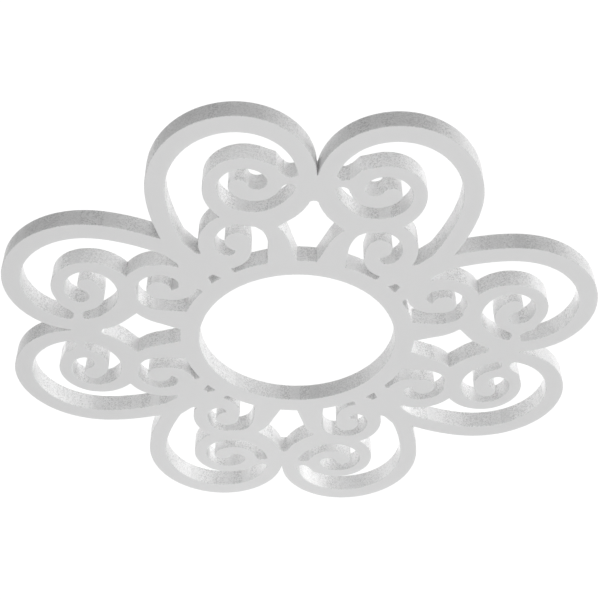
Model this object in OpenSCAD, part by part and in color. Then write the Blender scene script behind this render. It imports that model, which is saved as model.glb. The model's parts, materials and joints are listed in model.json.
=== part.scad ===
// Pierced ceiling rose: one flat plate whose eight lobes are scrolls around a round opening.
// The back lies on the ceiling at z = 0 with +Z up, and the face looks down. Opposite
// lobes point along X and Y, and the middle of the opening is on the Z axis.

/* [Plate] */
// Width across opposite lobes
rose_w = 762; // [740:1:900]
// Thickness of the plate
plate_t = 25.4; // [12:0.2:40]
// Diameter of the middle opening
bore_d = 260.35; // [200:0.05:300]
// Width of the ring around the opening
ring_w = 26; // [18:0.5:40]

/* [Large scroll, outer turn] */
// Bend radius where it leaves the root
root_r = 490; // [400:5:600]
// Bend radius between the root and the outer side
flare_r = 305; // [250:5:370]
// Bend radius at its outer side
side_r = 116; // [96:1:140]
// Bend radius at the top of the lobe
top_r = 83.5; // [70:0.5:101]
// Bend radius at the neck, where the twin scrolls meet
neck_r = 76.5; // [64:0.5:92]
// Bend radius between neck and base
hip_r = 62; // [52:0.5:74]
// Bend radius at the base
base_r = 57; // [50:0.5:64]
// Width of the band from root to top
large_w = 24; // [18:0.5:29]
// Width of the band at the neck
neck_w = 22; // [18:0.5:27]
// Width of the band between neck and base
hip_w = 28.5; // [18:0.5:32]
// Width of the band at the base
base_w = 25; // [16:0.5:28]

/* [Large scroll, inner turn] */
// Bend radius at the curl's outer side
curl_side_r = 41.5; // [36:0.5:46]
// Bend radius at the curl's top
curl_top_r = 41.5; // [36:0.5:46]
// Bend radius at the curl's back
curl_back_r = 20; // [17:0.5:24]
// Bend radius in the eye
curl_eye_r = 23; // [20:0.5:26]
// Width of the band around the curl
curl_w = 17; // [14:0.5:20.5]
// Width of the band in the eye
curl_eye_w = 19.5; // [14:0.5:22]
// Radius of the knob that ends the curl
curl_knob_r = 12.3; // [10:0.1:14]
// Straight run before the knob
curl_run = 1.5; // [0:0.5:3]

/* [Small scroll] */
// Bend radius above the foot
leg_r = 64; // [50:1:80]
// Bend radius at the shoulder
shoulder_r = 48; // [40:0.5:56]
// Bend radius at the top
crown_r = 42.5; // [36:0.5:50]
// Bend radius at the outer side
flank_r = 43.5; // [37:0.5:50]
// Bend radius at the bottom
bottom_r = 16; // [13:0.5:20]
// Bend radius at the bottom of the curl's back
heel_r = 22; // [18:0.5:27]
// Bend radius at the curl's back
back_r = 30.5; // [25:0.5:37]
// Width of the band above the foot
leg_w = 28; // [20:0.5:34]
// Width of the band over the top
crown_w = 18.5; // [14:0.5:22]
// Width of the band down the side
flank_w = 20; // [14:0.5:24]
// Width of the band at the bottom
bottom_w = 25; // [18:0.5:30]
// Width of the band at the curl's back
back_w = 18.5; // [14:0.5:24]
// Radius of the knob that ends the curl
small_knob_r = 16; // [13:0.1:18]
// Straight run before the knob
small_run = 10; // [7:0.5:12]
// How far its top stands outside the base of the large scroll
small_offset = 10; // [4:0.5:16]
// Width of the foot on the ring
foot_w = 42; // [30:0.5:46]
// Gap between the feet of twin scrolls
feet_gap = 14; // [10:0.5:24]

/* [Joints between the scrolls] */
// Height of the bridge that ties the inner turn to the outer turn
bridge_h = 11.2; // [6:0.2:18]
// Height of the bridge's middle above the curl's back
bridge_rise = 5; // [0:0.5:10]
// How far the bridge's shoulder runs along the curl
shoulder_run = 8.5; // [4:0.5:12]
// How far the bridge's shoulder climbs
shoulder_climb = 12; // [6:0.5:16]
// Length of the neck below the point where the twin scrolls meet
neck_below = 31; // [20:0.5:38]
// Length of the neck above that point
neck_above = 10; // [4:0.5:16]
// Radius of the round head of the gap under the neck
gap_head_r = 7.2; // [5:0.1:10]
// Radius of the solid root where four scrolls meet
root_pad_r = 34; // [28:0.5:38]
// Distance of the root's middle outside the ring
root_pad_out = 22; // [14:0.5:28]

/* [Eyelet in each root] */
// Width of the eyelet on the ring's side
eyelet_in_w = 15; // [8:0.5:20]
// Width of the eyelet on the far side
eyelet_out_w = 8; // [4:0.5:14]
// Depth of the eyelet away from the ring
eyelet_h = 11; // [8:0.5:14]
// Gap between the ring and the eyelet
eyelet_out = 1.2; // [0:0.1:4]

/* [Hidden] */
$fn = 96;
chord_gap = 0.17;
over = 1;
knob_lap = 0.6;
quarter = 90;
hip_web_heading = 53;
root_web_heading = 66;
root_web_bearing = 72;
shoulder_heading = 562;
lobes = 4;

bore_r = bore_d / 2;
ring_r = bore_r + ring_w;
seat_r = bore_r + ring_w / 2;

// Knots hold the heading in degrees, the bend radius and the band's width
large_knots = [
    [50, root_r, large_w],
    [70, flare_r, large_w],
    [90, side_r, large_w],
    [180, top_r, large_w],
    [270, neck_r, neck_w],
    [315, hip_r, hip_w],
    [360, base_r, base_w],
    [450, curl_side_r, curl_w],
    [540, curl_top_r, curl_w],
    [630, curl_back_r, curl_w],
    [720, curl_eye_r, curl_eye_w],
    [775, curl_eye_r, 2 * curl_knob_r - knob_lap]
];
small_knots = [
    [80, leg_r, leg_w],
    [45, shoulder_r, crown_w],
    [0, crown_r, crown_w],
    [-90, flank_r, flank_w],
    [-180, bottom_r, bottom_w],
    [-225, heel_r, (bottom_w + back_w) / 2],
    [-277, back_r, back_w]
];

function along(h) = [cos(h), sin(h)];
function left_of(h) = [-sin(h), cos(h)];

// Steps between knots are fine enough to keep each chord within chord_gap of the curve
function step_turn(r) = 2 * acos(1 - chord_gap / r);
function step_count(a, b) = ceil(abs(b[0] - a[0]) / step_turn(max(a[1], b[1])));
function between(a, b) =
    let (n = step_count(a, b))
    [for (i = [0 : n - 1]) a + (b - a) * i / n];
function steps(knots) = [
    for (k = [0 : len(knots) - 2]) each between(knots[k], knots[k + 1]),
    knots[len(knots) - 1]
];

// A band's path: each chord spans its turn at the mean radius and the mean heading
function chord(a, b) = (a[1] + b[1]) * sin(abs(b[0] - a[0]) / 2) * along((a[0] + b[0]) / 2);
function walk(s) = [
    for (i = 0, p = [0, 0]; i < len(s); p = i < len(s) - 1 ? p + chord(s[i], s[i + 1]) : p, i = i + 1) p
];
function point_at(s, path, heading) = [for (i = [0 : len(s) - 1]) if (s[i][0] == heading) path[i]][0];
function first_after(s, side_edge, heading, turn) =
    [for (i = [0 : len(s) - 1]) if (turn * (s[i][0] - heading) >= 0) side_edge[i]][0];
function moved(path, shift) = [for (p = path) p + shift];

// The edge on one side of the path: side is 1 for the left and -1 for the right
function edge(s, path, side) = [
    for (i = [0 : len(s) - 1]) path[i] + side * s[i][2] / 2 * left_of(s[i][0])
];
function reversed(v) = [for (i = [len(v) - 1 : -1 : 0]) v[i]];

// The large scroll touches the Y axis at its neck and the lobe's full reach at its top
large_steps = steps(large_knots);
large_start = walk(large_steps);
large_shift = [
    neck_w / 2 - point_at(large_steps, large_start, 270)[0],
    rose_w / 2 - large_w / 2 - point_at(large_steps, large_start, 180)[1]
];
large_path = moved(large_start, large_shift);
neck = point_at(large_steps, large_path, 270);
base = point_at(large_steps, large_path, 360);
curl_back = point_at(large_steps, large_path, 630);

// The small scroll shares the base of the large one
small_steps = steps(small_knots);
small_start = walk(small_steps);
small_shift = base + [small_offset, 0] - point_at(small_steps, small_start, 0);
small_path = moved(small_start, small_shift);

// The bridge lies between the two turns
turn_in = neck[0] + neck_w / 2;
turn_out = curl_back[0] - curl_w / 2;
slot_x = (turn_in + turn_out) / 2;
slot_r = (turn_out - turn_in) / 2;
bridge_y = curl_back[1] + bridge_rise;
root_middle = (ring_r + root_pad_out) * along(quarter / 2);
large_left = edge(large_steps, large_path, 1);
large_right = edge(large_steps, large_path, -1);
small_left = edge(small_steps, small_path, 1);
small_right = edge(small_steps, small_path, -1);

module plate() {
    translate([0, 0, -plate_t]) linear_extrude(plate_t) children();
}

module band(heading, left, right, run) {
    step = run * along(heading);
    polygon(concat(left, [left[len(left) - 1] + step], [right[len(right) - 1] + step], reversed(right)));
}

// A round knob that touches the band's outer edge from inside
module knob(heading, outer, run, r, side) {
    translate(outer[len(outer) - 1] + run * along(heading) - side * r * left_of(heading)) circle(r);
}

module large_scroll() {
    heading = large_knots[len(large_knots) - 1][0];
    plate() band(heading, large_left, large_right, curl_run);
    plate() knob(heading, large_right, curl_run, curl_knob_r, -1);
}

module small_scroll() {
    heading = small_knots[len(small_knots) - 1][0];
    plate() band(heading, small_left, small_right, small_run);
    plate() knob(heading, small_left, small_run, small_knob_r, 1);
}

// Straight legs carry both scrolls down to the middle of the ring
function seat(x) = [x, sqrt(seat_r * seat_r - x * x)];

module foot() {
    plate() polygon([
        seat(feet_gap / 2),
        small_left[0],
        small_left[1],
        small_right[1],
        small_right[0],
        seat(feet_gap / 2 + foot_w)
    ]);
}

module root_leg() {
    start = large_path[0];
    bearing = atan2(start[1], start[0]);
    middle = seat_r * along(bearing);
    aside = large_w / 2 * left_of(bearing);
    plate() polygon([middle + aside, large_left[0], large_right[0], middle - aside]);
}

// A web carries the large scroll's inner edge to the point of its gap
module root_web() {
    point = root_middle + root_pad_r * along(root_web_bearing);
    start = first_after(large_steps, large_left, root_web_heading, 1);
    inside = first_after(large_steps, large_path, root_web_heading, 1);
    plate() polygon([root_middle, inside, start, point]);
}

// A straight web closes the corner between the hip of the large scroll and the small one
module hip_web() {
    hip = first_after(large_steps, large_right, 315, 1);
    lean = first_after(small_steps, small_left, hip_web_heading, -1);
    plate() polygon([hip, lean, base]);
}

// The bridge's two ends are hollowed to the round ends of the gaps above and below it
module bridge() {
    below = bridge_y - bridge_h / 2 - slot_r;
    above = bridge_y + bridge_h / 2 + slot_r;
    plate() difference() {
        polygon([
            [turn_in - neck_w / 4, below],
            [turn_in - neck_w / 4, above - slot_r / 2],
            [turn_out, above - slot_r / 2],
            [turn_out + shoulder_run, above - slot_r / 2 + shoulder_climb],
            first_after(large_steps, large_right, shoulder_heading, 1),
            curl_back,
            [turn_out + curl_w / 2, below]
        ]);
        translate([slot_x, below]) circle(slot_r);
        translate([slot_x, above]) circle(slot_r);
    }
}

module neck_web() {
    head_y = neck[1] - neck_below - gap_head_r;
    plate() difference() {
        translate([-gap_head_r, head_y]) square([2 * gap_head_r, neck_below + neck_above + gap_head_r]);
        translate([0, head_y]) circle(gap_head_r);
    }
}

// The half of a lobe to the right of its axis
module half_lobe() {
    large_scroll();
    small_scroll();
    foot();
    root_leg();
    root_web();
    hip_web();
    bridge();
}

module lobe() {
    half_lobe();
    mirror([1, 0, 0]) half_lobe();
    neck_web();
}

module ring() {
    plate() circle(ring_r);
}

module root_pad() {
    plate() translate(root_middle) circle(root_pad_r);
}

// Cuts pass through both faces
module cut() {
    translate([0, 0, -plate_t - over]) linear_extrude(plate_t + 2 * over) children();
}

module eyelet() {
    cut() rotate(-quarter / 2) polygon([
        [-eyelet_in_w / 2, ring_r + eyelet_out],
        [-eyelet_out_w / 2, ring_r + eyelet_out + eyelet_h],
        [eyelet_out_w / 2, ring_r + eyelet_out + eyelet_h],
        [eyelet_in_w / 2, ring_r + eyelet_out]
    ]);
}

module bore() {
    cut() circle(bore_r);
}

module ceiling_rose() {
    color("gainsboro")
    difference() {
        union() {
            ring();
            for (i = [0 : lobes - 1]) rotate(i * quarter) lobe();
            for (i = [0 : lobes - 1]) rotate(i * quarter) root_pad();
        }
        for (i = [0 : lobes - 1]) rotate(i * quarter) eyelet();
        bore();
    }
}

ceiling_rose();
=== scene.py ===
import json
from math import acos, atan2, ceil, cos, degrees, pi, radians, sin, sqrt

import bpy
from mathutils import Matrix, Vector


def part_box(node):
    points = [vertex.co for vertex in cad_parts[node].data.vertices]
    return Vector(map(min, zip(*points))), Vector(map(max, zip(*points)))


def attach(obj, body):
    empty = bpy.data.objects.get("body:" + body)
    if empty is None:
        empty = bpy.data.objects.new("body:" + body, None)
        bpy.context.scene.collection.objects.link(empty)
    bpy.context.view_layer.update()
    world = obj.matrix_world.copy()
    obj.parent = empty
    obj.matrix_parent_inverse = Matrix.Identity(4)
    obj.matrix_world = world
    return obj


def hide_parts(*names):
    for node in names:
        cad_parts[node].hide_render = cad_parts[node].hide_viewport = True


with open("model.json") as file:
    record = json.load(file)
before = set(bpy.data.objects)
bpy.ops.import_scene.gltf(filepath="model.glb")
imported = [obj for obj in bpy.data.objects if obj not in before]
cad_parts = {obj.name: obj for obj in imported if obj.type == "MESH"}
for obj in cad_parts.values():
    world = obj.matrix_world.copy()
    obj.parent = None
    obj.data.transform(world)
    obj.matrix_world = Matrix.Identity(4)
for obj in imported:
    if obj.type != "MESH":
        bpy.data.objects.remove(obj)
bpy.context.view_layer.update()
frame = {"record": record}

# ---------------------------------------------------------------------------------------------
# The ceiling rose: one flat, white cellular board, glued to the ceiling by its back. A router
# cuts it right through in one pass, and its edges are then eased with fine paper. Each of its
# lobes is a pair of mirrored scrolls, tied to each other and to the ring round the opening.
low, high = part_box("ceiling_rose")
bore_mount = next(m for m in frame["record"]["mounts"] if m["name"] == "bore")
reach = (high.x - low.x) / 2
board_thickness = high.z - low.z
opening_radius = bore_mount["dims"]["r_mm"] / 1000
lobes = 4
ring_width = 0.026
seat_radius = opening_radius + ring_width / 2
ring_radius = opening_radius + ring_width

# A scroll is a band whose bend radius and width change evenly with its heading. The large one
# rolls up into a curl, the small one stands on the ring, and each ends in a round knob. A knot is
# a heading in degrees, a bend radius and a band width in metres.
knob_radius = 0.0123
knob_swell = 0.0006
large_knots = [
    (50, 0.490, 0.024),
    (70, 0.305, 0.024),
    (90, 0.116, 0.024),
    (180, 0.0835, 0.024),
    (270, 0.0765, 0.022),
    (315, 0.062, 0.0285),
    (360, 0.057, 0.025),
    (450, 0.0415, 0.017),
    (540, 0.0415, 0.017),
    (630, 0.020, 0.017),
    (720, 0.023, 0.0195),
    (775, 0.023, 2 * knob_radius - knob_swell),
]
small_knots = [
    (80, 0.064, 0.028),
    (45, 0.048, 0.0185),
    (0, 0.0425, 0.0185),
    (-90, 0.0435, 0.020),
    (-180, 0.016, 0.025),
    (-225, 0.022, 0.02175),
    (-277, 0.0305, 0.0185),
]
top_heading = 180
neck_heading = 270
hip_heading = 315
base_heading = 360
curl_back_heading = 630
small_top_heading = 0

# The chords of a scroll stay this close to its curve, and those of a plain arc turn this far
curve_gap = 0.00002
arc_step = 6


def along(heading):
    return Vector((cos(radians(heading)), sin(radians(heading)), 0))


def left_of(heading):
    return Vector((-sin(radians(heading)), cos(radians(heading)), 0))


class Scroll:
    """A band's centre line, one point for each step of its heading, and its two edges."""

    def __init__(self, knots):
        self.steps = []
        for a, b in zip(knots, knots[1:]):
            turn = degrees(2 * acos(1 - curve_gap / max(a[1], b[1])))
            count = ceil(abs(b[0] - a[0]) / turn)
            self.steps += [
                tuple(p + (q - p) * i / count for p, q in zip(a, b)) for i in range(count)
            ]
        self.steps.append(knots[-1])
        self.path = [Vector((0, 0, 0))]
        for a, b in zip(self.steps, self.steps[1:]):
            chord = (a[1] + b[1]) * sin(radians(abs(b[0] - a[0])) / 2)
            self.path.append(self.path[-1] + chord * along((a[0] + b[0]) / 2))

    def knot(self, heading):
        """The place and half the width where the band has exactly that heading."""
        return next(
            (p, s[2] / 2)
            for s, p in zip(self.steps, self.path)
            if abs(s[0] - heading) < 1e-6
        )

    def move(self, shift):
        self.path = [p + shift for p in self.path]

    def edge(self, side):
        return [p + side * s[2] / 2 * left_of(s[0]) for s, p in zip(self.steps, self.path)]

    def past(self, line, heading):
        """The first point of one of the band's lines from that heading on."""
        turn = 1 if self.steps[-1][0] > self.steps[0][0] else -1
        return next(p for s, p in zip(self.steps, line) if turn * (s[0] - heading) >= 0)

    def band(self, run):
        onward = run * along(self.steps[-1][0])
        left, right = self.edge(1), self.edge(-1)
        return left + [left[-1] + onward, right[-1] + onward] + right[::-1]

    def knob(self, run, radius, side):
        """A round end that touches the band's edge on that side from inside."""
        heading = self.steps[-1][0]
        middle = self.edge(side)[-1] + run * along(heading) - side * radius * left_of(heading)
        return arc(middle, radius, 0, 360 - arc_step)


def arc(middle, radius, start, end):
    count = max(2, round(abs(end - start) / arc_step))
    return [middle + radius * along(start + (end - start) * i / count) for i in range(count + 1)]


def seat(x):
    """A point on the middle of the ring's width, where the feet end."""
    return Vector((x, sqrt(seat_radius**2 - x**2), 0))


# The twin large scrolls touch at the neck, and their tops give the rose its width
large = Scroll(large_knots)
neck, neck_half = large.knot(neck_heading)
top, top_half = large.knot(top_heading)
large.move(Vector((neck_half - neck.x, reach - top_half - top.y, 0)))
neck, neck_half = large.knot(neck_heading)
base = large.knot(base_heading)[0]
curl_back, curl_half = large.knot(curl_back_heading)
small_offset = Vector((0.010, 0, 0))
small = Scroll(small_knots)
small.move(base + small_offset - small.knot(small_top_heading)[0])

# The foot of the small scroll and the leg of the large one go down to the middle of the ring
foot_width = 0.042
feet_gap = 0.014
small_left, small_right = small.edge(1), small.edge(-1)
large_left, large_right = large.edge(1), large.edge(-1)
foot = [
    seat(feet_gap / 2),
    small_left[0],
    small_left[1],
    small_right[1],
    small_right[0],
    seat(feet_gap / 2 + foot_width),
]
start = large.path[0]
bearing = degrees(atan2(start.y, start.x))
leg_seat = seat_radius * along(bearing)
leg_side = large_knots[0][2] / 2 * left_of(bearing)
leg = [leg_seat + leg_side, large_left[0], large_right[0], leg_seat - leg_side]

# Webs fill the corner at the hip, and the point where the crescent ends at the root
root_radius = 0.034
root_outside_ring = 0.022
root_distance = ring_radius + root_outside_ring
root_middle = root_distance * along(180 / lobes)
root_web_heading = 66
root_web_bearing = 72
hip_web_heading = 53
root_web = [
    root_middle,
    large.past(large.path, root_web_heading),
    large.past(large_left, root_web_heading),
    root_middle + root_radius * along(root_web_bearing),
]
hip_web = [
    large.past(large_right, hip_heading), small.past(small_left, hip_web_heading), base,
]

# The bridge ties the curl to the outer turn, between two slots with round ends
bridge_height = 0.0112
bridge_rise = 0.005
shoulder_heading = 562
shoulder_run = 0.0085
shoulder_climb = 0.012
turn_in = neck.x + neck_half
turn_out = curl_back.x - curl_half
slot_radius = (turn_out - turn_in) / 2
slot_x = (turn_in + turn_out) / 2
bridge_y = curl_back.y + bridge_rise
below = bridge_y - bridge_height / 2 - slot_radius
above = bridge_y + bridge_height / 2 + slot_radius
tuck = neck_half / 2
shoulder = above - slot_radius / 2
bridge = [
    Vector((turn_in - tuck, below, 0)),
    *arc(Vector((slot_x, below, 0)), slot_radius, 180, 0),
    Vector((turn_out + curl_half, below, 0)),
    curl_back,
    large.past(large_right, shoulder_heading),
    Vector((turn_out + shoulder_run, shoulder + shoulder_climb, 0)),
    Vector((turn_out, shoulder, 0)),
    *arc(Vector((slot_x, above, 0)), slot_radius, -30, -150),
    Vector((turn_in - tuck, shoulder, 0)),
]

# The neck is where the twin scrolls meet, and the gap under it has a round head
gap_radius = 0.0072
neck_below = 0.031
neck_above = 0.010
gap_y = neck.y - neck_below - gap_radius
neck_top = neck.y + neck_above
neck_web = [
    *arc(Vector((0, gap_y, 0)), gap_radius, 0, 180),
    Vector((-gap_radius, neck_top, 0)),
    Vector((gap_radius, neck_top, 0)),
]


def counter_clockwise(loop):
    area = sum(p.x * q.y - q.x * p.y for p, q in zip(loop, loop[1:] + loop[:1]))
    return loop if area > 0 else loop[::-1]


def outlines(name, loops):
    curve = bpy.data.curves.new(name, "CURVE")
    curve.dimensions = "3D"
    for loop in loops:
        spline = curve.splines.new("POLY")
        spline.points.add(len(loop) - 1)
        for point, place in zip(spline.points, counter_clockwise(loop)):
            point.co = (*place, 1)
        spline.use_cyclic_u = True
    made = bpy.data.objects.new(name, curve)
    bpy.context.scene.collection.objects.link(made)
    return made


large_run = 0.0015
small_run = 0.010
small_knob_radius = 0.016
half_lobe = outlines("half_lobe", [
    large.band(large_run),
    large.knob(large_run, knob_radius, -1),
    small.band(small_run),
    small.knob(small_run, small_knob_radius, 1),
    foot,
    leg,
    root_web,
    hip_web,
    bridge,
])


class Wire:
    """One output of a node. Python's operators on it add Math nodes."""

    def __init__(self, tree, socket):
        self.tree = tree
        self.socket = socket

    def out(self, name):
        return Wire(self.tree, self.socket.node.outputs[name])

    def math(self, operation, *others):
        return self.tree.math(operation, self, *others)

    def __add__(self, other):
        return self.math("ADD", other)

    def __radd__(self, other):
        return self.tree.math("ADD", other, self)

    def __sub__(self, other):
        return self.math("SUBTRACT", other)

    def __rsub__(self, other):
        return self.tree.math("SUBTRACT", other, self)

    def __mul__(self, other):
        return self.math("MULTIPLY", other)

    def __rmul__(self, other):
        return self.tree.math("MULTIPLY", other, self)

    def __truediv__(self, other):
        return self.math("DIVIDE", other)

    def __rtruediv__(self, other):
        return self.tree.math("DIVIDE", other, self)

    def __gt__(self, other):
        return self.math("GREATER_THAN", other)

    def __lt__(self, other):
        return self.math("LESS_THAN", other)


class Tree:
    """Adds nodes to a node tree, each with its settings first and then its sockets."""

    def __init__(self, tree):
        self.tree = tree

    def add(self, kind, settings=None, sockets=None, out=0):
        node = self.tree.nodes.new(kind)
        for name, value in (settings or {}).items():
            setattr(node, name, value)
        for key, value in (sockets or {}).items():
            for one in value if isinstance(value, list) else [value]:
                if isinstance(one, Wire):
                    self.tree.links.new(one.socket, node.inputs[key])
                else:
                    node.inputs[key].default_value = one
        return Wire(self, node.outputs[out]) if node.outputs else None

    def math(self, operation, *values):
        return self.add("ShaderNodeMath", {"operation": operation}, dict(enumerate(values)))


# The routing: the outlines of half a lobe become the whole rose, first as the board that is cut
# through, then with its edges eased, a little on the face and hardly at all on the back
rose_tree = bpy.data.node_groups.new("routed_rose", "GeometryNodeTree")
rose_tree.interface.new_socket("Rose", in_out="OUTPUT", socket_type="NodeSocketGeometry")
for kind, names in {
    "Geometry": ["Half Lobe"],
    "Object": ["Neck Web"],
    "Int": ["Lobes"],
    "Float": [
        "Board Thickness",
        "Opening Radius",
        "Ring Radius",
        "Root Radius",
        "Root Distance",
        "Eyelet Inner Width",
        "Eyelet Outer Width",
        "Eyelet Height",
        "Eyelet Distance",
        "Face Arris",
        "Back Arris",
    ],
    "Material": ["Board"],
}.items():
    for name in names:
        rose_tree.interface.new_socket(name, in_out="INPUT", socket_type="NodeSocket" + kind)

rose = Tree(rose_tree)
given = rose.add("NodeGroupInput")
thickness = given.out("Board Thickness")
face_arris = given.out("Face Arris")
back_arris = given.out("Back Arris")
up = (0, 0, 1)
root_sides = 96
ring_sides = 240


def turned_round(curve):
    """One copy for each lobe, turned about the middle of the opening."""
    share = rose.add("GeometryNodeInputIndex") * (2 * pi) / given.out("Lobes")
    turn = rose.add("ShaderNodeCombineXYZ", None, {"Z": share})
    spokes = rose.add("GeometryNodePoints", None, {"Count": given.out("Lobes")})
    return rose.add("GeometryNodeInstanceOnPoints", None, {
        "Points": spokes, "Instance": curve, "Rotation": turn,
    })


def circle(radius, points):
    return rose.add("GeometryNodeCurvePrimitiveCircle", {"mode": "RADIUS"}, {
        "Resolution": points, "Radius": radius,
    })


def prisms(curves, lowest, highest):
    """A closed solid for each outline, kept apart as instances for the cutting."""
    rail = rose.add("GeometryNodeCurvePrimitiveLine", None, {
        "Start": rose.add("ShaderNodeCombineXYZ", None, {"Z": lowest}),
        "End": rose.add("ShaderNodeCombineXYZ", None, {"Z": highest}),
    })
    solids = rose.add("GeometryNodeCurveToMesh", None, {
        "Curve": rail,
        "Profile Curve": rose.add("GeometryNodeRealizeInstances", None, {"Geometry": curves}),
        "Fill Caps": True,
    })
    island = rose.add("GeometryNodeInputMeshIsland", None, None, "Island Index")
    return rose.add("GeometryNodeSplitToInstances", {"domain": "FACE"}, {
        "Geometry": solids, "Group ID": island,
    })


# The board that stays: both halves of every lobe, the ring, and the roots on the diagonals
right_half = given.out("Half Lobe")
mirrored = rose.add("GeometryNodeTransform", None, {
    "Geometry": right_half, "Scale": (-1, 1, 1),
})
left_half = rose.add("GeometryNodeReverseCurve", None, {"Curve": mirrored})
web = rose.add("GeometryNodeObjectInfo", None, {"Object": given.out("Neck Web")}, "Geometry")
root_angle = pi / given.out("Lobes")
root_place = rose.add("ShaderNodeCombineXYZ", None, {
    "X": given.out("Root Distance") * root_angle.math("COSINE"),
    "Y": given.out("Root Distance") * root_angle.math("SINE"),
})
root = rose.add("GeometryNodeTransform", None, {
    "Geometry": circle(given.out("Root Radius"), root_sides), "Translation": root_place,
})
kept = prisms(
    rose.add("GeometryNodeJoinGeometry", None, {"Geometry": [
        turned_round(rose.add("GeometryNodeJoinGeometry", None, {
            "Geometry": [right_half, left_half, web, root],
        })),
        circle(given.out("Ring Radius"), ring_sides),
    ]}),
    0 - thickness,
    0,
)

# The board that goes: the opening, and an eyelet in each root
eyelet = rose.add("GeometryNodeCurvePrimitiveQuadrilateral", {"mode": "TRAPEZOID"}, {
    "Height": given.out("Eyelet Height"),
    "Bottom Width": given.out("Eyelet Inner Width"),
    "Top Width": given.out("Eyelet Outer Width"),
    "Offset": 0,
})
eyelet_middle = given.out("Eyelet Distance") + given.out("Eyelet Height") / 2
eyelet_out = rose.add("GeometryNodeTransform", None, {
    "Geometry": eyelet,
    "Translation": rose.add("ShaderNodeCombineXYZ", None, {"Y": eyelet_middle}),
})
eyelet_turned = rose.add("GeometryNodeTransform", None, {
    "Geometry": eyelet_out,
    "Rotation": rose.add("ShaderNodeCombineXYZ", None, {"Z": 0 - root_angle}),
})
waste = prisms(
    rose.add("GeometryNodeJoinGeometry", None, {"Geometry": [
        turned_round(eyelet_turned),
        circle(given.out("Opening Radius"), ring_sides),
    ]}),
    0 - 2 * thickness,
    thickness,
)
whole = rose.add("GeometryNodeMeshBoolean", {"operation": "UNION", "solver": "MANIFOLD"}, {
    "Mesh 2": kept,
})
cut_out = rose.add("GeometryNodeMeshBoolean", {"operation": "DIFFERENCE", "solver": "MANIFOLD"}, {
    "Mesh 1": whole, "Mesh 2": waste,
})

# The outlines of the back, as curves that know which way is out of the board
normal = rose.add("GeometryNodeInputNormal")
place = rose.add("GeometryNodeInputPosition")


def capture(geometry, domain, kind, name, value):
    """The geometry, and the value as it stands there, to be read after the geometry changes."""
    kept_value = rose.add("GeometryNodeCaptureAttribute", {"domain": domain}, {
        "Geometry": geometry,
    })
    kept_value.socket.node.capture_items.new(kind, name)
    rose.tree.links.new(value.socket, kept_value.socket.node.inputs[name])
    return kept_value, kept_value.out(name)


def vector(operation, *values, out="Vector"):
    sockets = dict(enumerate(values))
    return rose.add("ShaderNodeVectorMath", {"operation": operation}, sockets, out)


def scaled(direction, factor):
    return rose.add("ShaderNodeVectorMath", {"operation": "SCALE"}, {
        "Vector": direction, "Scale": factor,
    })


upward = 0.9
weld = 0.0004
solid, outward = capture(cut_out, "POINT", "VECTOR", "Outward", normal)
back = rose.add("GeometryNodeSeparateGeometry", {"domain": "FACE"}, {
    "Geometry": solid,
    "Selection": rose.add("ShaderNodeSeparateXYZ", None, {0: normal}, "Z") > upward,
})
rims = rose.add("GeometryNodeSeparateGeometry", {"domain": "EDGE"}, {
    "Geometry": back,
    "Selection": rose.add("GeometryNodeInputMeshEdgeNeighbors") < 1.5,  # faces beside it
})
welded = rose.add("GeometryNodeMergeByDistance", None, {"Geometry": rims, "Distance": weld})
loops = rose.add("GeometryNodeMeshToCurve", None, {"Mesh": welded})


def beside(offset):
    """The place of the point before or after this one on its outline."""
    neighbour = rose.add("GeometryNodeOffsetPointInCurve", None, {"Offset": offset}, "Point Index")
    return rose.add("GeometryNodeFieldAtIndex", {"data_type": "FLOAT_VECTOR", "domain": "POINT"}, {
        "Index": neighbour, "Value": place,
    })


arriving = vector("NORMALIZE", vector("SUBTRACT", place, beside(-1)))
leaving = vector("NORMALIZE", vector("SUBTRACT", beside(1), place))
tangent = vector("NORMALIZE", vector("ADD", arriving, leaving))
sideways = vector("CROSS_PRODUCT", up, tangent)
loops, lean = capture(
    loops, "POINT", "FLOAT", "Lean", vector("DOT_PRODUCT", sideways, outward, out="Value")
)
loops = rose.add("GeometryNodeReverseCurve", None, {"Curve": loops, "Selection": lean > 0})

# A mitre reaches further at a corner, so that both of its edges move by the same amount
sharpest = 0.35
half_turn = vector("DOT_PRODUCT", tangent, arriving, out="Value")
corner = half_turn.math("MAXIMUM", sharpest)
loops, start_place = capture(loops, "POINT", "VECTOR", "Place", place)
loops, inward = capture(loops, "POINT", "VECTOR", "Inward", scaled(sideways, 1 / corner))
loops, travel = capture(
    loops,
    "POINT",
    "FLOAT",
    "Travel",
    rose.add("GeometryNodeSplineParameter", None, None, "Length"),
)

# The wall's section: a point on the back's skin, one where its easing ends, and the rest round
# the easing of the face
arris_steps = 4
step = rose.add("GeometryNodeInputIndex") - 2
swing = step.math("MAXIMUM", 0) * (pi / 2 / arris_steps)
on_face_side = step > -0.5
on_back_side = step < -1.5
down = thickness - face_arris + face_arris * swing.math("SINE")
depth = on_face_side * down + (1 - on_face_side) * (1 - on_back_side) * back_arris
inset = face_arris * (1 - swing.math("COSINE")) + on_back_side * back_arris
section = rose.add("GeometryNodeResampleCurve", {"mode": "COUNT"}, {
    "Curve": rose.add("GeometryNodeCurvePrimitiveLine"), "Count": arris_steps + 3,
})
section, wall_depth = capture(section, "POINT", "FLOAT", "Depth", depth)
section, wall_inset = capture(section, "POINT", "FLOAT", "Inset", inset)


def eased(amount, depth_here):
    """Every point's place when its outline moves in by an amount, at a depth."""
    moved_in = vector("ADD", start_place, scaled(inward, amount))
    sunk = vector("MULTIPLY", moved_in, (1, 1, 0))
    drop = rose.add("ShaderNodeCombineXYZ", None, {"Z": 0 - depth_here})
    return vector("ADD", sunk, drop)


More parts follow.
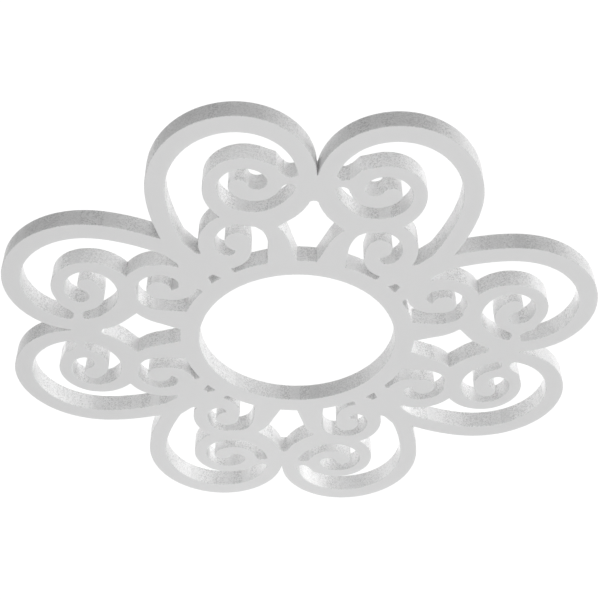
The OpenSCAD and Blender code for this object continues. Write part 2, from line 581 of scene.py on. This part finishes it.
wall = rose.add("GeometryNodeSetPosition", None, {
    "Geometry": rose.add("GeometryNodeCurveToMesh", None, {
        "Curve": loops, "Profile Curve": section,
    }),
    "Position": eased(wall_inset, wall_depth),
})
wall = rose.add("GeometryNodeStoreNamedAttribute", {"data_type": "FLOAT", "domain": "FACE"}, {
    "Geometry": wall, "Name": "cut_wall", "Value": 1,
})
wall = rose.add("GeometryNodeStoreNamedAttribute", {"data_type": "FLOAT", "domain": "POINT"}, {
    "Geometry": wall, "Name": "router_travel", "Value": travel,
})


def skin(amount, depth_here):
    """The flat skin of the board inside the eased outlines."""
    filled = rose.add("GeometryNodeFillCurve", {"mode": "TRIANGLES"}, {
        "Curve": rose.add("GeometryNodeSetPosition", None, {
            "Geometry": loops, "Position": eased(amount, 0),
        }),
    })
    return rose.add("GeometryNodeSetPosition", None, {
        "Geometry": filled,
        "Offset": rose.add("ShaderNodeCombineXYZ", None, {"Z": 0 - depth_here}),
    })


seam = 0.00001
back_skin = skin(back_arris, 0)
face_skin = rose.add("GeometryNodeFlipFaces", None, {"Mesh": skin(face_arris, thickness)})
closed = rose.add("GeometryNodeMergeByDistance", None, {
    "Geometry": rose.add("GeometryNodeJoinGeometry", None, {
        "Geometry": [wall, back_skin, face_skin],
    }),
    "Distance": seam,
})

# The easing is rounded in the light, and corners and the skins' rims stay crisp
crisp_angle = radians(28)
cut_beside = rose.add("GeometryNodeInputNamedAttribute", {"data_type": "FLOAT"}, {
    "Name": "cut_wall",
})
corner_angle = rose.add("GeometryNodeInputMeshEdgeAngle") > crisp_angle
on_rim = (cut_beside > 0.1) * (cut_beside < 0.9)  # its two faces differ
shaded = rose.add("GeometryNodeSetShadeSmooth", {"domain": "EDGE"}, {
    "Geometry": rose.add("GeometryNodeSetShadeSmooth", {"domain": "FACE"}, {
        "Geometry": closed, "Shade Smooth": True,
    }),
    "Selection": corner_angle + on_rim > 0.5,
    "Shade Smooth": False,
})
finished = rose.add("GeometryNodeSetMaterial", None, {
    "Geometry": rose.add("GeometryNodeRealizeInstances", None, {"Geometry": shaded}),
    "Material": given.out("Board"),
})
rose.add("NodeGroupOutput", None, {0: finished})

# The finish. Cellular board has a smooth moulded skin. Its cut walls show fine open cells, torn
# more in some lengths of the cut than in others, and the faint ripple that a cutter leaves, and
# some lengths are painted a little lighter or darker: a painted shade that stands in for the light
# on flat facets. The back is sanded lightly for the glue, and painted darker than the face: a
# painted shade that holds down the strong light from above.
board = bpy.data.materials.new("white_board")
board.use_nodes = True
board.node_tree.nodes.clear()
white = Tree(board.node_tree)
object_place = white.add("ShaderNodeTexCoord", None, None, "Object")


def noise(place_here, scale, detail):
    return white.add("ShaderNodeTexNoise", None, {
        "Vector": place_here, "Scale": scale, "Detail": detail,
    })


def drawn_for(number):
    """An amount from 0 to 1 that is always the same for the same number."""
    return white.add("ShaderNodeTexWhiteNoise", {"noise_dimensions": "1D"}, {"W": number}, "Value")


def between(amount, first, second):
    return white.add("ShaderNodeMix", {"data_type": "RGBA", "factor_mode": "UNIFORM"}, {
        "Factor": amount, "A": first, "B": second,
    }, "Result")


# The skin, with clouds that can only just be seen
skin_white = (0.89, 0.89, 0.89, 1)
skin_shade = (0.875, 0.875, 0.875, 1)
cloud_scale = 5
clouds = noise(object_place, cloud_scale, 3)
skin_colour = between(clouds, skin_white, skin_shade)

# The cut walls
cell_white = (0.94, 0.94, 0.94, 1)
cell_shade = (0.68, 0.68, 0.68, 1)
cell_scale = 760
grain_scale = 2600
cut_length = 0.014
ripple_pitch = 0.0022
middle_tone = 0.70
cell_contrast = 0.4
torn_contrast = 1.4
painted_facet_contrast = 0.32
cut = white.add("ShaderNodeAttribute", {"attribute_name": "cut_wall"}, None, "Fac")
travelled = white.add("ShaderNodeAttribute", {"attribute_name": "router_travel"}, None, "Fac")
cell_tone = white.add("ShaderNodeTexVoronoi", {"feature": "F1"}, {
    "Vector": object_place, "Scale": cell_scale, "Randomness": 1,
}, "Color")
cells = white.add("ShaderNodeSeparateColor", None, {"Color": cell_tone}, "Red")
grain = noise(object_place, grain_scale, 2)
cut_number = (travelled * (1 / cut_length)).math("FLOOR")
torn = drawn_for(cut_number)
# Painted shade: each length of the cut made lighter or darker at random, in place of lit facets
painted_facet_shade = drawn_for(cut_number + 0.5)
ripple = (travelled * (2 * pi / ripple_pitch)).math("SINE")
cut_tone = (
    middle_tone
    + (cells - 0.5) * (cell_contrast + torn_contrast * torn)
    + (painted_facet_shade - 0.5) * painted_facet_contrast
)
cut_colour = between(cut_tone, cell_shade, cell_white)

# The sanded back, whose scratches run along X. Its colour is painted darker than the face's:
# a painted shade that holds down the strong light from above.
back_shaded_white = (0.76, 0.76, 0.755, 1)
back_shaded_grey = (0.62, 0.62, 0.615, 1)
back_depth = -0.0002
scratch_scale = 60
scratch_stretch = (1, 14, 1)
on_back = white.add("ShaderNodeSeparateXYZ", None, {0: object_place}, "Z") > back_depth
stretched = white.add("ShaderNodeMapping", None, {
    "Vector": object_place, "Scale": scratch_stretch,
})
back_scratches_and_painted_shade = between(noise(stretched, scratch_scale, 6), back_shaded_white, back_shaded_grey)

# All three together
skin_roughness = 0.42
cloud_roughness = 0.08
cut_roughness = 0.3
back_roughness = 0.3
skin_grain = 0.15
cut_cells = 0.35
cut_grain = 0.3
cut_ripple = 0.06
skin_relief = grain * skin_grain * (1 - cut)
cut_relief = cut * (cells * cut_cells + grain * cut_grain + ripple * cut_ripple)
surface = white.add("ShaderNodeBsdfPrincipled", None, {
    # The back's colour carries real sanding scratches and a painted shade
    "Base Color": between(on_back, between(cut, skin_colour, cut_colour), back_scratches_and_painted_shade),
    "Roughness": (
        skin_roughness
        + cloud_roughness * clouds
        + cut_roughness * cut
        + back_roughness * on_back
    ),
    "Normal": white.add("ShaderNodeBump", None, {
        "Height": skin_relief + cut_relief, "Strength": 0.5, "Distance": 0.0006,
    }),
    "IOR": 1.5,
    "Subsurface Weight": 0.35,
    "Subsurface Radius": (1, 1, 1),
    "Subsurface Scale": 0.004,
})
white.add("ShaderNodeOutputMaterial", None, {"Surface": surface})

# The rose made up: every input is set by its identifier before the rose is first worked out
eyelet_gap = 0.0012
rose_sizes = {
    "Lobes": lobes,
    "Board Thickness": board_thickness,
    "Opening Radius": opening_radius,
    "Ring Radius": ring_radius,
    "Root Radius": root_radius,
    "Root Distance": root_distance,
    "Eyelet Inner Width": 0.015,
    "Eyelet Outer Width": 0.008,
    "Eyelet Height": 0.011,
    "Eyelet Distance": ring_radius + eyelet_gap,
    "Face Arris": 0.0009,
    "Back Arris": 0.0003,
    "Neck Web": outlines("neck_web", [neck_web]),
    "Board": board,
}
routing = half_lobe.modifiers.new("routing", "NODES")
routing.node_group = rose_tree
for item in rose_tree.interface.items_tree:
    if item.name in rose_sizes:
        routing[item.identifier] = rose_sizes[item.name]
bpy.context.view_layer.update()
seen = half_lobe.evaluated_get(bpy.context.evaluated_depsgraph_get())
ceiling_rose = bpy.data.objects.new("rose_board", bpy.data.meshes.new_from_object(seen))
bpy.context.scene.collection.objects.link(ceiling_rose)
half_lobe.modifiers.remove(routing)
for pattern in (rose_sizes["Neck Web"], half_lobe):
    bpy.data.objects.remove(pattern)
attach(ceiling_rose, "root")
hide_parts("ceiling_rose")

# ---------------------------------------------------------------------------------------------
# The studio: a pale round floor far below and white air all round. Broad soft lights stand low
# above the rose, at the back and on the right, so that its walls pass light on to each other. Its
# face looks down, and is lit by the floor and three weak lights.
floor_mesh = bpy.data.meshes.new("floor")
floor_radius = 40
floor_z = -2.4
floor_sides = 96
floor_mesh.from_pydata(
    [tuple(floor_radius * along(360 * i / floor_sides) + Vector((0, 0, floor_z)))
     for i in range(floor_sides)],
    [],
    [tuple(range(floor_sides))],
)
floor = bpy.data.objects.new("floor", floor_mesh)
bpy.context.scene.collection.objects.link(floor)
pale = bpy.data.materials.new("floor_paint")
pale.use_nodes = True
paint = pale.node_tree.nodes["Principled BSDF"].inputs
paint["Base Color"].default_value = (0.8, 0.8, 0.8, 1)
paint["Roughness"].default_value = 0.9
paint["Emission Color"].default_value = (1, 1, 1, 1)
paint["Emission Strength"].default_value = 0.218
floor_mesh.materials.append(pale)

world = bpy.data.worlds.new("studio")
bpy.context.scene.world = world
world.use_nodes = True
world.node_tree.nodes.clear()
air = Tree(world.node_tree)
ray = air.add("ShaderNodeLightPath", None, None, "Is Camera Ray")
air.add("ShaderNodeOutputWorld", None, {"Surface": air.add("ShaderNodeBackground", None, {
    "Color": (1, 1, 1, 1), "Strength": 0.235 + ray * 0.84,
})})

# Each light's name, place, width in metres and power in watts
for name, place_of_light, size, power in (
    ("back", (0, 2.0, 0.93), 1.0, 27.5),
    ("back_left", (-1.73, 1.0, 0.93), 1.0, 16),
    ("back_left_high", (-1.09, 0.63, 1.80), 1.0, 8),
    ("right", (2.0, 0, 0.93), 1.0, 18),
    ("right_high", (1.26, 0, 1.80), 1.0, 9.5),
    ("front_right_high", (1.09, -0.63, 1.80), 1.0, 6),
    ("right_low", (2.15, 0, -0.46), 1.0, 7.5),
    ("front_low", (0, -1.56, -1.56), 1.0, 5),
    ("back_under", (0, 1.3, -0.7), 0.6, 1.5),
):
    light = bpy.data.lights.new(name, "AREA")
    light.shape = "DISK"
    light.size = size
    light.energy = power
    lamp = bpy.data.objects.new(name, light)
    lamp.location = place_of_light
    lamp.rotation_euler = Vector(place_of_light).to_track_quat("Z", "Y").to_euler()
    bpy.context.scene.collection.objects.link(lamp)

# ---------------------------------------------------------------------------------------------
# The camera: it stands below the rose on the -Y side, a little to the left, and looks up at it
# from the height of someone's eyes, tilted by a fraction of a degree.
camera_turn = radians(-4.70)
camera_rise = radians(-41.50)
camera_roll = radians(-0.20)
camera_distance = 1.630
aim_right = 0.0038
aim_up = 0.0359
away = Vector((
    sin(camera_turn) * cos(camera_rise),
    -cos(camera_turn) * cos(camera_rise),
    sin(camera_rise),
))
view_up = (Vector(up) - away * away.z).normalized()
view_right = view_up.cross(away)
lens = bpy.data.cameras.new("camera")
lens.lens = 72.5
lens.sensor_width = 36
camera = bpy.data.objects.new("camera", lens)
rolled_right = view_right * cos(camera_roll) + view_up * sin(camera_roll)
rolled_up = view_up * cos(camera_roll) - view_right * sin(camera_roll)
axes = Matrix((rolled_right, rolled_up, away)).transposed().to_4x4()
spot = away * camera_distance + rolled_right * aim_right + rolled_up * aim_up
camera.matrix_world = Matrix.Translation(spot) @ axes
bpy.context.scene.collection.objects.link(camera)
bpy.context.scene.camera = camera
bpy.context.scene.view_settings.view_transform = "Standard"
